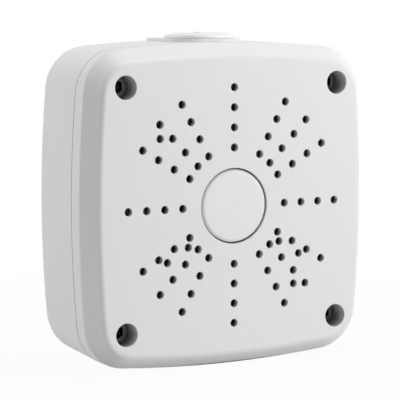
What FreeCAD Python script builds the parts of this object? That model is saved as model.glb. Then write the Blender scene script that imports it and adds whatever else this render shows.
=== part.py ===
import FreeCAD, Part
import math
import os
import Sketcher

# Camera junction box: a cast case with a cover that a camera screws to.
# Origin at the middle of the back, which lies on the wall. X right, Y into the wall, Z up.

doc = FreeCAD.newDocument("camera_junction_box")
sheet = doc.addObject("Spreadsheet::Sheet", "Sizes")

drivingSizes = {
    # How far a cut runs past what it goes through
    "cut_room": 0.5,
    # Outline of the case, seen from the front
    "half_width": 67.4,
    "side_bow": 4.2,
    "corner_radius": 19.0,
    # Back box
    "box_depth": 30.0,
    "box_wall": 4.0,
    "back_wall": 3.0,
    "back_rounding": 1.2,
    "seat_width": 2.0,
    "tongue_height": 2.2,
    # Cover
    "parting_gap": 0.3,
    "cover_depth": 14.7,
    "bevel_depth": 8.1,
    "bevel_width": 5.6,
    "front_rounding": 2.6,
    "bevel_rounding": 1.6,
    "plate": 4.0,
    "rim": 6.4,
    "tongue_clearance": 0.25,
    "gasket_thickness": 2.0,
    "gasket_clearance": 0.1,
    # Cover screws, sunk in their bores, each set in from both sides of the case
    "screw_inset": 17.4,
    "boss_diameter": 13.0,
    "sink_diameter": 9.75,
    "bore_floor_wall": 1.3,
    "head_diameter": 9.4,
    "head_height": 3.4,
    "head_chamfer": 0.35,
    "key_width": 5.0,
    "key_depth": 2.2,
    "waist_diameter": 4.6,
    "screw_hole": 6.4,
    "thread_diameter": 6.0,
    "thread_clearance": 0.03,
    "tip_chamfer": 0.7,
    "engagement": 7.0,
    "screw_travel": 7.0,
    "tip_room": 2.5,
    "seal_thickness": 1.0,
    "seal_diameter": 9.2,
    "washer_diameter": 8.6,
    "washer_thickness": 0.8,
    "washer_play": 0.2,
    "web_rib": 3.0,
    # Camera fixing holes in the cover
    "camera_hole": 3.4,
    "first_ring": 24.23,
    "ring_step": 8.29,
    "ring_count": 4,
    "ray_count": 12,
    "cross_ray_count": 4,
    "lone_hole_far": 34.6,
    "lone_hole_near": 28.95,
    "inner_pair_across": 21.7,
    "inner_pair_down": 16.1,
    "outer_pair_across": 31.4,
    "outer_pair_down": 21.8,
    # Cable hole in the middle of the cover, and its plug
    "plug_diameter": 30.5,
    "plug_gap": 0.5,
    "plug_head": 3.0,
    "plug_rounding": 1.4,
    "plug_wall": 2.6,
    "plug_stem": 6.0,
    "cable_bore": 25.0,
    "stem_gap": 0.2,
    "ring_section": 1.5,
    "groove_room": 0.1,
    "ring_gap": 0.05,
    "hub_diameter": 37.0,
    "hub_depth": 9.0,
    # Cable entry on the top, and its screwed plug
    "entry_diameter": 20.96,
    "entry_clearance": 0.08,
    "entry_boss": 27.0,
    "entry_boss_depth": 6.0,
    "pad_half_width": 17.7,
    "pad_height": 1.35,
    "pad_corner": 14.0,
    "pad_margin": 0.6,
    "flange_diameter": 29.6,
    "flange_height": 1.25,
    "flange_crown": 0.45,
    "crown_diameter": 21.0,
    "flange_rounding": 1.25,
    "nub_diameter": 4.5,
    "nub_height": 0.35,
    "key_hole": 3.0,
    "key_hole_spacing": 16.0,
    "stem_length": 10.5,
    "stem_bore": 15.0,
    "stem_chamfer": 1.0,
    "side_seal_thickness": 0.6,
    "side_seal_gap": 0.1,
    "side_seal_proud": 0.15,
    "flange_lip": 1.3,
    # Cable hole in the back, and its grommet
    "rear_hole": 25.0,
    "rear_recess": 30.0,
    "rear_recess_depth": 1.6,
    "rear_hub": 36.0,
    "rear_hub_height": 3.0,
    "grommet_gap": 0.1,
    "grommet_lip": 2.0,
    "grommet_length": 6.0,
    "grommet_bore": 8.0,
    "grommet_wall": 1.6,
    "grommet_flare": 2.5,
    "grommet_rim": 1.5,
    # Fixing holes in the back
    "wall_spacing_across": 60.0,
    "wall_spacing_up": 90.0,
    "wall_hole": 5.5,
    "wall_seat": 12.0,
    "wall_seat_height": 1.5,
    "brace_width": 2.4,
    "brace_height": 1.5,
    # Earth terminal inside the box
    "earth_inset": 19.4,
    "earth_up": -14.0,
    "earth_boss": 9.0,
    "earth_boss_height": 7.0,
    "earth_thread": 4.0,
    "earth_length": 8.0,
    "earth_head": 7.6,
    "earth_head_height": 2.6,
    "earth_head_chamfer": 0.9,
    "earth_tip_chamfer": 0.5,
    "earth_slot": 1.2,
    "earth_washer": 9.0,
    "earth_washer_thickness": 0.8,
    "spring_washer": 7.2,
    "spring_washer_thickness": 1.0,
    "spring_washer_slit": 0.8,
    "washer_hole_gap": 0.2,
}

# Sizes that follow from the ones above
followingSizes = {
    "diagonal": "=cos(45deg)",
    "side_radius": "=(half_width * half_width + side_bow * side_bow) / (2 * side_bow)",
    "full_depth": "=box_depth + parting_gap + cover_depth",
    "cover_back": "=box_depth + parting_gap",
    "band_depth": "=cover_depth - bevel_depth",
    "bevel_angle": "=atan(bevel_width / bevel_depth) / 1deg",
    "channel_outer": "=seat_width - tongue_clearance",
    "channel_inner": "=box_wall + tongue_clearance",
    "channel_depth": "=tongue_height + gasket_thickness - parting_gap",
    "gasket_outer": "=channel_outer + gasket_clearance",
    "gasket_inner": "=channel_inner - gasket_clearance",
    "gasket_front": "=cover_back + channel_depth",
    "half_screws": "=half_width - screw_inset",
    "clip_recess": "=washer_thickness + washer_play",
    "bore_floor": "=cover_back + clip_recess + bore_floor_wall",
    "bore_depth": "=full_depth - bore_floor",
    "head_under": "=bore_floor + seal_thickness",
    "head_top": "=head_under + head_height",
    "thread_top": "=cover_back - washer_play - screw_travel",
    "thread_end": "=thread_top - engagement - tip_room / 2",
    "tapped_top": "=thread_end + engagement",
    "tapped_depth": "=cover_back - thread_end + tip_room",
    "pad_top": "=half_width + pad_height",
    "entry_middle": "=box_depth / 2",
    "plug_under": "=full_depth - plug_head",
    "stem_end": "=plug_under - plug_stem",
    "earth_across": "=earth_inset - half_width",
    "earth_seat": "=back_wall + earth_boss_height",
}

row = 1
for name, size in list(drivingSizes.items()) + list(followingSizes.items()):
    sheet.set("A%d" % row, name)
    sheet.set("B%d" % row, str(size))
    sheet.setAlias("B%d" % row, name)
    row += 1
doc.recompute()


def number(name):
    return float(sheet.get(name))


def plane(body, role):
    for feature in body.Origin.OriginFeatures:
        if feature.Role == role:
            return feature


def newBody(name):
    body = doc.addObject("PartDesign::Body", name)
    body.Label = name
    return body


def newSketch(body, name, role="XZ_Plane", offset=None):
    sketch = body.newObject("Sketcher::SketchObject", name)
    sketch.AttachmentSupport = [(plane(body, role), "")]
    sketch.MapMode = "FlatFace"
    if offset:
        sketch.setExpression("AttachmentOffset.Base.z", offset)
    return sketch


def bind(sketch, constraint, expression):
    index = sketch.addConstraint(constraint)
    name = "size%d" % index
    sketch.renameConstraint(index, name)
    sketch.setExpression("Constraints." + name, expression)


# A point of a sketch at a place given by two expressions
def placePoint(sketch, geometry, point, across, up):
    if across == "0":
        sketch.addConstraint(Sketcher.Constraint("PointOnObject", geometry, point, -2))
    else:
        bind(sketch, Sketcher.Constraint("DistanceX", -1, 1, geometry, point, 1.0), across)
    if up == "0":
        sketch.addConstraint(Sketcher.Constraint("PointOnObject", geometry, point, -1))
    else:
        bind(sketch, Sketcher.Constraint("DistanceY", -1, 1, geometry, point, 1.0), up)


def circle(sketch, across, up, diameter):
    upright = FreeCAD.Vector(0, 0, 1)
    geometry = sketch.addGeometry(Part.Circle(FreeCAD.Vector(1, 1, 0), upright, 1))
    placePoint(sketch, geometry, 3, across, up)
    bind(sketch, Sketcher.Constraint("Diameter", geometry, 2.0), diameter)


# The four corners of a rectangle, given half its width and half its height
def corners(halfAcross, halfUp):
    return [(side + halfAcross, end + halfUp) for side in ("", "-") for end in ("", "-")]


# A closed outline of straight lines through points given by expressions. Its lines are first
# drawn round a circle, and the expressions then put them in place
def polygon(sketch, points):
    count = len(points)
    start = []
    for index in range(count):
        turn = 2 * math.pi * index / count
        start.append(FreeCAD.Vector(math.cos(turn), math.sin(turn), 0) * number("half_width"))
    lines = []
    for index in range(count):
        line = Part.LineSegment(start[index], start[(index + 1) % count])
        lines.append(sketch.addGeometry(line))
    for index in range(count):
        following = lines[(index + 1) % count]
        sketch.addConstraint(Sketcher.Constraint("Coincident", lines[index], 2, following, 1))
    for line, (across, up) in zip(lines, points):
        placePoint(sketch, line, 1, across, up)


# The case's outline, a square with bowed sides and round corners, moved in by an inset
def caseOutline(sketch, inset=None):
    less = number(inset) if inset else 0.0
    minus = " - Sizes." + inset if inset else ""
    side = number("side_radius") - less
    corner = number("corner_radius") - less
    shift = side - (number("half_width") - less)
    reach = (math.sqrt(2 * (side - corner) ** 2 - shift ** 2) - shift) / 2
    sideTurn = math.atan2(reach, reach + shift)
    upright = FreeCAD.Vector(0, 0, 1)
    sides = []
    rounds = []
    for quarter in range(4):
        turn = quarter * math.pi / 2
        centre = FreeCAD.Vector(-shift * math.cos(turn), -shift * math.sin(turn), 0)
        arc = Part.ArcOfCircle(Part.Circle(centre, upright, side), turn - sideTurn, turn + sideTurn)
        sides.append(sketch.addGeometry(arc))
        diagonal = turn + math.pi / 4
        centre = FreeCAD.Vector(math.cos(diagonal), math.sin(diagonal), 0) * reach * math.sqrt(2)
        arc = Part.ArcOfCircle(Part.Circle(centre, upright, corner),
                               turn + sideTurn, turn + math.pi / 2 - sideTurn)
        rounds.append(sketch.addGeometry(arc))
    for quarter in range(4):
        following = sides[(quarter + 1) % 4]
        sketch.addConstraint(Sketcher.Constraint("Tangent", sides[quarter], 2, rounds[quarter], 1))
        sketch.addConstraint(Sketcher.Constraint("Tangent", rounds[quarter], 2, following, 1))
        if quarter:
            sketch.addConstraint(Sketcher.Constraint("Equal", sides[0], sides[quarter]))
            sketch.addConstraint(Sketcher.Constraint("Equal", rounds[0], rounds[quarter]))
        axis = -1 if quarter % 2 == 0 else -2
        sketch.addConstraint(Sketcher.Constraint("PointOnObject", sides[quarter], 3, axis))
        measure = "DistanceX" if quarter % 2 == 0 else "DistanceY"
        sign = "" if quarter < 2 else "-"
        place = Sketcher.Constraint(measure, sides[quarter], 3, -1, 1, shift if quarter < 2 else -shift)
        bind(sketch, place, sign + "(Sizes.side_radius - Sizes.half_width)")
    bind(sketch, Sketcher.Constraint("Radius", sides[0], side), "Sizes.side_radius" + minus)
    bind(sketch, Sketcher.Constraint("Radius", rounds[0], corner), "Sizes.corner_radius" + minus)


# Extrudes or cuts a sketch; toFront sends it towards the front or the top
def extrude(body, kind, sketch, length, toFront):
    feature = body.newObject("PartDesign::" + kind, sketch.Name + "_" + kind.lower())
    feature.Profile = sketch
    feature.Reversed = toFront if kind == "Pocket" else not toFront
    if length:
        feature.setExpression("Length", length)
    else:
        feature.Type = "ThroughAll"
    sketch.Visibility = False
    doc.recompute()
    return feature


def pad(body, sketch, length, toFront=True):
    return extrude(body, "Pad", sketch, length, toFront)


def pocket(body, sketch, length=None, toFront=False):
    return extrude(body, "Pocket", sketch, length, toFront)


# Turns a profile about the sketch's upright axis
def turned(body, kind, sketch):
    feature = body.newObject("PartDesign::" + kind, sketch.Name + "_" + kind.lower())
    feature.Profile = sketch
    feature.ReferenceAxis = (sketch, ["V_Axis"])
    feature.Angle = 360
    sketch.Visibility = False
    doc.recompute()
    return feature


def polar(body, feature, sketch, count):
    pattern = body.newObject("PartDesign::PolarPattern", feature.Name + "_round")
    pattern.Originals = [feature]
    pattern.Axis = (sketch, ["N_Axis"])
    pattern.Angle = 360
    pattern.setExpression("Occurrences", count)
    body.Tip = pattern
    doc.recompute()
    return pattern


# Rounds or bevels the edges of the body's last feature that a test picks
def dress(body, kind, name, picks, size):
    base = body.Tip
    edges = []
    for index, edge in enumerate(base.Shape.Edges):
        if picks(edge):
            edges.append("Edge%d" % (index + 1))
    if not edges:
        raise RuntimeError("no edge found for " + name)
    feature = body.newObject("PartDesign::" + kind, name)
    feature.Base = (base, edges)
    feature.setExpression("Radius" if kind == "Fillet" else "Size", size)
    doc.recompute()
    return feature


def same(one, other):
    return abs(one - other) < 0.01


def liesAt(edge, depth):
    return same(edge.BoundBox.YMin, -depth) and same(edge.BoundBox.YMax, -depth)


def isRound(edge, diameter):
    return edge.Curve.TypeId == "Part::GeomCircle" and same(edge.Curve.Radius, diameter / 2)


# Back box: a cast tray, open to the front
def makeBackBox():
    body = newBody("back_box")
    outline = newSketch(body, "box_outline")
    caseOutline(outline)
    pad(body, outline, "Sizes.box_depth")
    dress(body, "Fillet", "back_edge", lambda edge: liesAt(edge, 0), "Sizes.back_rounding")

    # Raised pad on the top for the cable entry, with round front corners
    raised = newSketch(body, "entry_pad", "XY_Plane", "Sizes.half_width - Sizes.box_wall / 2")
    polygon(raised, [("-Sizes.pad_half_width", "-Sizes.pad_margin"),
                     ("-Sizes.pad_half_width", "Sizes.pad_margin - Sizes.box_depth"),
                     ("Sizes.pad_half_width", "Sizes.pad_margin - Sizes.box_depth"),
                     ("Sizes.pad_half_width", "-Sizes.pad_margin")])
    pad(body, raised, "Sizes.pad_height + Sizes.box_wall / 2")
    frontCorner = number("pad_margin") - number("box_depth")

    def padCorner(edge):
        box = edge.BoundBox
        upright = same(box.XLength, 0) and same(box.YLength, 0)
        return upright and same(box.YMin, frontCorner) and box.ZMin > 0
    dress(body, "Fillet", "pad_corners", padCorner, "Sizes.pad_corner")

    cavity = newSketch(body, "cavity", offset="Sizes.box_depth")
    caseOutline(cavity, "box_wall")
    pocket(body, cavity, "Sizes.box_depth - Sizes.back_wall")

    # Tongue around the rim, which presses on the cover's gasket
    tongue = newSketch(body, "tongue", offset="Sizes.box_depth - Sizes.seat_width")
    caseOutline(tongue, "seat_width")
    caseOutline(tongue, "box_wall")
    pad(body, tongue, "Sizes.tongue_height + Sizes.seat_width")

    # Cover screw bosses, tied to the corners by ribs
    bosses = newSketch(body, "screw_bosses")
    for across, up in corners("Sizes.half_screws", "Sizes.half_screws"):
        circle(bosses, across, up, "Sizes.boss_diameter")
    pad(body, bosses, "Sizes.cover_back")
    rib = newSketch(body, "corner_rib", offset="Sizes.back_wall / 2")
    inner = "Sizes.half_screws - Sizes.web_rib * Sizes.diagonal"
    outer = "Sizes.half_screws + Sizes.boss_diameter / 2"
    near = outer + " - Sizes.web_rib * Sizes.diagonal"
    polygon(rib, [("Sizes.half_screws", inner), (outer, near), (near, outer),
                  (inner, "Sizes.half_screws")])
    ribPad = pad(body, rib, "Sizes.box_depth - Sizes.back_wall / 2")
    polar(body, ribPad, rib, "4")

    # Hub around the cable hole, seats for the wall screws, and braces from hub to bosses
    hub = newSketch(body, "rear_hub")
    circle(hub, "0", "0", "Sizes.rear_hub")
    pad(body, hub, "Sizes.back_wall + Sizes.rear_hub_height")
    seats = newSketch(body, "wall_seats")
    for across, up in corners("Sizes.wall_spacing_across / 2", "Sizes.wall_spacing_up / 2"):
        circle(seats, across, up, "Sizes.wall_seat")
    pad(body, seats, "Sizes.back_wall + Sizes.wall_seat_height")
    brace = newSketch(body, "brace", offset="Sizes.back_wall / 2")
    slant = "Sizes.brace_width / 2 * Sizes.diagonal"
    atHub = "Sizes.rear_recess / 2 * Sizes.diagonal"
    polygon(brace, [(atHub + " + " + slant, atHub + " - " + slant),
                    ("Sizes.half_screws + " + slant, "Sizes.half_screws - " + slant),
                    ("Sizes.half_screws - " + slant, "Sizes.half_screws + " + slant),
                    (atHub + " - " + slant, atHub + " + " + slant)])
    bracePad = pad(body, brace, "Sizes.back_wall / 2 + Sizes.brace_height")
    polar(body, bracePad, brace, "4")
    earth = newSketch(body, "earth_boss")
    circle(earth, "Sizes.earth_across", "Sizes.earth_up", "Sizes.earth_boss")
    pad(body, earth, "Sizes.earth_seat")

    # Thick collar behind the cable entry, inside the box
    collar = newSketch(body, "entry_collar", "XY_Plane",
                       "Sizes.half_width - Sizes.box_wall - Sizes.entry_boss_depth")
    circle(collar, "0", "-Sizes.entry_middle", "Sizes.entry_boss")
    pad(body, collar, "Sizes.entry_boss_depth + Sizes.box_wall / 2")

    # Holes
    entry = newSketch(body, "entry_thread", "XY_Plane", "Sizes.pad_top")
    circle(entry, "0", "-Sizes.entry_middle", "Sizes.entry_diameter")
    pocket(body, entry, "Sizes.pad_height + Sizes.box_wall + Sizes.entry_boss_depth + Sizes.cut_room")
    tapped = newSketch(body, "screw_threads", offset="Sizes.cover_back")
    for across, up in corners("Sizes.half_screws", "Sizes.half_screws"):
        circle(tapped, across, up, "Sizes.thread_diameter")
    pocket(body, tapped, "Sizes.tapped_depth")
    relief = newSketch(body, "thread_relief", offset="Sizes.cover_back")
    for across, up in corners("Sizes.half_screws", "Sizes.half_screws"):
        circle(relief, across, up, "Sizes.screw_hole")
    pocket(body, relief, "Sizes.cover_back - Sizes.tapped_top")
    rear = newSketch(body, "rear_hole")
    circle(rear, "0", "0", "Sizes.rear_hole")
    for across, up in corners("Sizes.wall_spacing_across / 2", "Sizes.wall_spacing_up / 2"):
        circle(rear, across, up, "Sizes.wall_hole")
    pocket(body, rear, toFront=True)
    recess = newSketch(body, "rear_recess")
    circle(recess, "0", "0", "Sizes.rear_recess")
    pocket(body, recess, "Sizes.rear_recess_depth", toFront=True)
    earthHole = newSketch(body, "earth_thread", offset="Sizes.earth_seat")
    circle(earthHole, "Sizes.earth_across", "Sizes.earth_up", "Sizes.earth_thread")
    pocket(body, earthHole, "Sizes.earth_length + Sizes.cut_room")
    return body


# Cover: a cast lid with a bevelled front, which carries the camera
def makeCover():
    body = newBody("cover")
    outline = newSketch(body, "cover_outline", offset="Sizes.cover_back")
    caseOutline(outline)
    pad(body, outline, "Sizes.band_depth")
    front = newSketch(body, "bevel_outline", offset="Sizes.cover_back + Sizes.band_depth")
    caseOutline(front)
    bevel = pad(body, front, "Sizes.bevel_depth")
    bevel.setExpression("TaperAngle", "-Sizes.bevel_angle")
    doc.recompute()
    depth = number("full_depth")
    dress(body, "Fillet", "front_edge", lambda edge: liesAt(edge, depth), "Sizes.front_rounding")
    depth = number("cover_back") + number("band_depth")
    dress(body, "Fillet", "bevel_edge", lambda edge: liesAt(edge, depth), "Sizes.bevel_rounding")

    cavity = newSketch(body, "cover_cavity", offset="Sizes.cover_back")
    caseOutline(cavity, "rim")
    pocket(body, cavity, "Sizes.cover_depth - Sizes.plate", toFront=True)
    channel = newSketch(body, "gasket_channel", offset="Sizes.cover_back")
    caseOutline(channel, "channel_outer")
    caseOutline(channel, "channel_inner")
    pocket(body, channel, "Sizes.channel_depth", toFront=True)

    bosses = newSketch(body, "bore_bosses", offset="Sizes.cover_back")
    for across, up in corners("Sizes.half_screws", "Sizes.half_screws"):
        circle(bosses, across, up, "Sizes.boss_diameter")
    pad(body, bosses, "Sizes.cover_depth - Sizes.plate / 2")
    hub = newSketch(body, "cable_hub", offset="Sizes.full_depth - Sizes.hub_depth")
    circle(hub, "0", "0", "Sizes.hub_diameter")
    pad(body, hub, "Sizes.hub_depth - Sizes.plate / 2")

    # Deep bores for the screws, each with a hole through its floor and a recess behind it
    steps = (("screw_bore", "Sizes.full_depth", "Sizes.sink_diameter", "Sizes.bore_depth", False),
             ("screw_hole", "Sizes.full_depth", "Sizes.screw_hole", None, False),
             ("clip_recess", "Sizes.cover_back", "Sizes.washer_diameter + 2 * Sizes.washer_play",
              "Sizes.clip_recess", True))
    for name, offset, diameter, length, toFront in steps:
        sketch = newSketch(body, name, offset=offset)
        for across, up in corners("Sizes.half_screws", "Sizes.half_screws"):
            circle(sketch, across, up, diameter)
        pocket(body, sketch, length, toFront)

    cable = newSketch(body, "cable_hole", offset="Sizes.full_depth")
    circle(cable, "0", "0", "Sizes.cable_bore")
    pocket(body, cable)
    seat = newSketch(body, "plug_seat", offset="Sizes.full_depth")
    circle(seat, "0", "0", "Sizes.plug_diameter + 2 * Sizes.plug_gap")
    pocket(body, seat, "Sizes.plug_head")

    # Camera holes: rays of holes on common circles, and six odd ones
    rings = int(number("ring_count"))
    for name, cosine, sine, count in (("ray", "1", "0", "Sizes.ray_count"),
                                      ("cross_ray", "Sizes.diagonal", "Sizes.diagonal",
                                       "Sizes.cross_ray_count")):
        sketch = newSketch(body, name, offset="Sizes.full_depth")
        for ring in range(rings):
            radius = "(Sizes.first_ring + %d * Sizes.ring_step)" % ring
            up = "0" if sine == "0" else sine + " * " + radius
            circle(sketch, cosine + " * " + radius, up, "Sizes.camera_hole")
        holes = pocket(body, sketch, "Sizes.plate + Sizes.cut_room")
        polar(body, holes, sketch, count)
    odd = newSketch(body, "odd_holes", offset="Sizes.full_depth")
    oddPlaces = [("-Sizes.lone_hole_far", "Sizes.lone_hole_near"),
                 ("Sizes.lone_hole_near", "-Sizes.lone_hole_far")]
    for pair in ("inner_pair", "outer_pair"):
        for side in ("", "-"):
            oddPlaces.append(("%sSizes.%s_across" % (side, pair), "-Sizes.%s_down" % pair))
    for across, up in oddPlaces:
        circle(odd, across, up, "Sizes.camera_hole")
    pocket(body, odd, "Sizes.plate + Sizes.cut_room")
    return body


# Cover gasket: a rubber cord of square section in the cover's channel
def makeGasket():
    body = newBody("cover_gasket")
    sketch = newSketch(body, "gasket_outline", offset="Sizes.gasket_front - Sizes.gasket_thickness")
    caseOutline(sketch, "gasket_outer")
    caseOutline(sketch, "gasket_inner")
    pad(body, sketch, "Sizes.gasket_thickness")
    return body


# Places a body that is drawn about its own axis on one of the cover screws' axes
def atScrew(body, corner):
    across, up = corners("Sizes.half_screws", "Sizes.half_screws")[corner]
    body.setExpression("Placement.Base.x", across)
    body.setExpression("Placement.Base.z", up)


# A ring about the Y axis between two depths
def ring(body, name, outer, inner, near, far):
    sketch = newSketch(body, name, "XY_Plane")
    polygon(sketch, [(inner, near), (outer, near), (outer, far), (inner, far)])
    return turned(body, "Revolution", sketch)


# Captive screw: round head with a key socket, thin waist and threaded tip
def makeScrew(corner):
    body = newBody("cover_screw_%d" % (corner + 1))
    head = "Sizes.head_diameter / 2"
    waist = "Sizes.waist_diameter / 2"
    thread = "Sizes.thread_diameter / 2 - Sizes.thread_clearance"
    tip = thread + " - Sizes.tip_chamfer"
    sketch = newSketch(body, "screw_profile_%d" % corner, "XY_Plane")
    polygon(sketch, [("0", "-Sizes.head_top"), (head + " - Sizes.head_chamfer", "-Sizes.head_top"),
                     (head, "Sizes.head_chamfer - Sizes.head_top"), (head, "-Sizes.head_under"),
                     (waist, "-Sizes.head_under"), (waist, "-Sizes.thread_top"),
                     (thread, "-Sizes.thread_top"), (thread, "Sizes.tip_chamfer - Sizes.thread_end"),
                     (tip, "-Sizes.thread_end"), ("0", "-Sizes.thread_end")])
    turned(body, "Revolution", sketch)
    socket = newSketch(body, "key_socket_%d" % corner, offset="Sizes.head_top")
    half = "Sizes.key_width / 2"
    point = "Sizes.key_width / sqrt(3)"
    polygon(socket, [(half, point + " / 2"), ("0", point), ("-" + half, point + " / 2"),
                     ("-" + half, "-" + point + " / 2"), ("0", "-" + point),
                     (half, "-" + point + " / 2")])
    pocket(body, socket, "Sizes.key_depth")
    atScrew(body, corner)
    return body


# Rubber washer under the screw's head
def makeScrewSeal(corner):
    body = newBody("screw_seal_%d" % (corner + 1))
    ring(body, "seal_profile_%d" % corner, "Sizes.seal_diameter / 2",
         "Sizes.waist_diameter / 2 + Sizes.washer_hole_gap / 2", "-Sizes.head_under",
         "-Sizes.bore_floor")
    atScrew(body, corner)
    return body


# Clip washer on the waist, which keeps the loosened screw in the cover
def makeRetainer(corner):
    body = newBody("retaining_washer_%d" % (corner + 1))
    ring(body, "clip_profile_%d" % corner, "Sizes.washer_diameter / 2",
         "Sizes.waist_diameter / 2 + Sizes.washer_hole_gap / 2",
         "-Sizes.cover_back - Sizes.clip_recess",
         "Sizes.washer_thickness - Sizes.cover_back - Sizes.clip_recess")
    atScrew(body, corner)
    return body


# Plug in the cover's cable hole: a flat round head on a hollow stem with a seal groove
def makeCentrePlug():
    body = newBody("centre_plug")
    head = "Sizes.plug_diameter / 2"
    stem = "Sizes.cable_bore / 2 - Sizes.stem_gap"
    groove = "Sizes.cable_bore / 2 - Sizes.ring_section - Sizes.groove_room"
    hollow = stem + " - Sizes.plug_wall"
    middle = "Sizes.plug_stem / 2 - Sizes.plug_under"
    half = "Sizes.ring_section / 2 + Sizes.groove_room"
    sketch = newSketch(body, "plug_profile", "XY_Plane")
    polygon(sketch, [("0", "-Sizes.full_depth"), (head, "-Sizes.full_depth"),
                     (head, "-Sizes.plug_under"), (stem, "-Sizes.plug_under"),
                     (stem, middle + " - (" + half + ")"), (groove, middle + " - (" + half + ")"),
                     (groove, middle + " + " + half), (stem, middle + " + " + half),
                     (stem, "-Sizes.stem_end"), (hollow, "-Sizes.stem_end"),
                     (hollow, "-Sizes.plug_under"), ("0", "-Sizes.plug_under")])
    turned(body, "Revolution", sketch)
    depth = number("full_depth")
    dress(body, "Fillet", "plug_edge", lambda edge: liesAt(edge, depth), "Sizes.plug_rounding")
    return body


# Seal ring in the plug's groove, just clear of the bore
def makePlugSeal():
    seal = doc.addObject("Part::Torus", "centre_plug_seal")
    seal.Label = "centre_plug_seal"
    seal.setExpression("Radius1", "Sizes.cable_bore / 2 - Sizes.ring_gap - Sizes.ring_section / 2")
    seal.setExpression("Radius2", "Sizes.ring_section / 2")
    upright = FreeCAD.Rotation(FreeCAD.Vector(1, 0, 0), 90)
    seal.Placement = FreeCAD.Placement(FreeCAD.Vector(0, 0, 0), upright)
    seal.setExpression("Placement.Base.y", "Sizes.plug_stem / 2 - Sizes.plug_under")
    return seal


# Screwed plug of the top entry, drawn about the Z axis. Its flange is hollow below for the seal
def makeSidePlug():
    body = newBody("side_plug")
    rim = "Sizes.flange_diameter / 2"
    thread = "Sizes.entry_diameter / 2 - Sizes.entry_clearance"
    bore = "Sizes.stem_bore / 2"
    under = "Sizes.pad_top + Sizes.side_seal_thickness"
    edge = under + " + Sizes.flange_height"
    crown = edge + " + Sizes.flange_crown"
    end = under + " - Sizes.stem_length"
    lip = "Sizes.pad_top + Sizes.side_seal_proud"
    recess = rim + " - Sizes.flange_lip + Sizes.side_seal_gap"
    sketch = newSketch(body, "flange_profile", "XZ_Plane")
    polygon(sketch, [("0", crown), ("Sizes.crown_diameter / 2", crown), (rim, edge), (rim, lip),
                     (recess, lip), (recess, under), (thread, under),
                     (thread, end + " + Sizes.stem_chamfer"),
                     (thread + " - Sizes.stem_chamfer", end), (bore, end), (bore, under),
                     ("0", under)])
    turned(body, "Revolution", sketch)
    diameter = number("flange_diameter")
    top = number("pad_top") + number("side_seal_thickness") + number("flange_height")

    def topEdge(edge):
        return isRound(edge, diameter) and same(edge.BoundBox.ZMin, top)
    dress(body, "Fillet", "flange_edge", topEdge, "Sizes.flange_rounding")
    nub = newSketch(body, "nub", "XY_Plane", edge)
    circle(nub, "0", "0", "Sizes.nub_diameter")
    pad(body, nub, "Sizes.flange_crown + Sizes.nub_height")
    keys = newSketch(body, "key_holes", "XY_Plane", crown)
    circle(keys, "Sizes.key_hole_spacing / 2", "0", "Sizes.key_hole")
    circle(keys, "-Sizes.key_hole_spacing / 2", "0", "Sizes.key_hole")
    pocket(body, keys, "Sizes.flange_height / 2 + Sizes.flange_crown")
    body.setExpression("Placement.Base.y", "-Sizes.entry_middle")
    return body


# Flat rubber ring in the hollow below the side plug's flange
def makeSideSeal():
    body = newBody("side_plug_seal")
    inner = "Sizes.entry_diameter / 2 + Sizes.side_seal_gap"
    sketch = newSketch(body, "side_seal_profile", "XZ_Plane")
    outer = "Sizes.flange_diameter / 2 - Sizes.flange_lip"
    top = "Sizes.pad_top + Sizes.side_seal_thickness"
    polygon(sketch, [(inner, "Sizes.pad_top"), (outer, "Sizes.pad_top"), (outer, top), (inner, top)])
    turned(body, "Revolution", sketch)
    body.setExpression("Placement.Base.y", "-Sizes.entry_middle")
    return body


# Rubber grommet of the rear cable hole: two lips and a nozzle into the box
def makeGrommet():
    body = newBody("rear_grommet")
    lip = "Sizes.rear_recess / 2 - Sizes.grommet_gap"
    neck = "Sizes.rear_hole / 2 - Sizes.grommet_gap"
    bore = "Sizes.grommet_bore / 2"
    nozzle = bore + " + Sizes.grommet_wall"
    inside = "Sizes.back_wall + Sizes.rear_hub_height"
    lipTop = "-(" + inside + " + Sizes.grommet_lip)"
    sketch = newSketch(body, "grommet_profile", "XY_Plane")
    polygon(sketch, [(bore, lipTop + " - Sizes.grommet_length"),
                     (nozzle, lipTop + " - Sizes.grommet_length"),
                     (nozzle + " + Sizes.grommet_flare", lipTop), (lip, lipTop),
                     (lip, "-(" + inside + ")"), (neck, "-(" + inside + ")"),
                     (neck, "-Sizes.rear_recess_depth"), (lip, "-Sizes.rear_recess_depth"),
                     (lip, "-Sizes.grommet_gap"),
                     (neck + " - Sizes.grommet_rim", "-Sizes.grommet_gap"),
                     (neck + " - Sizes.grommet_rim", "Sizes.grommet_lip - (" + inside + ")"),
                     (bore, "-(" + inside + ")")])
    turned(body, "Revolution", sketch)
    return body


# Earth terminal: slotted screw, flat washer and split spring washer
def atEarth(body):
    body.setExpression("Placement.Base.x", "Sizes.earth_across")
    body.setExpression("Placement.Base.z", "Sizes.earth_up")


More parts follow.
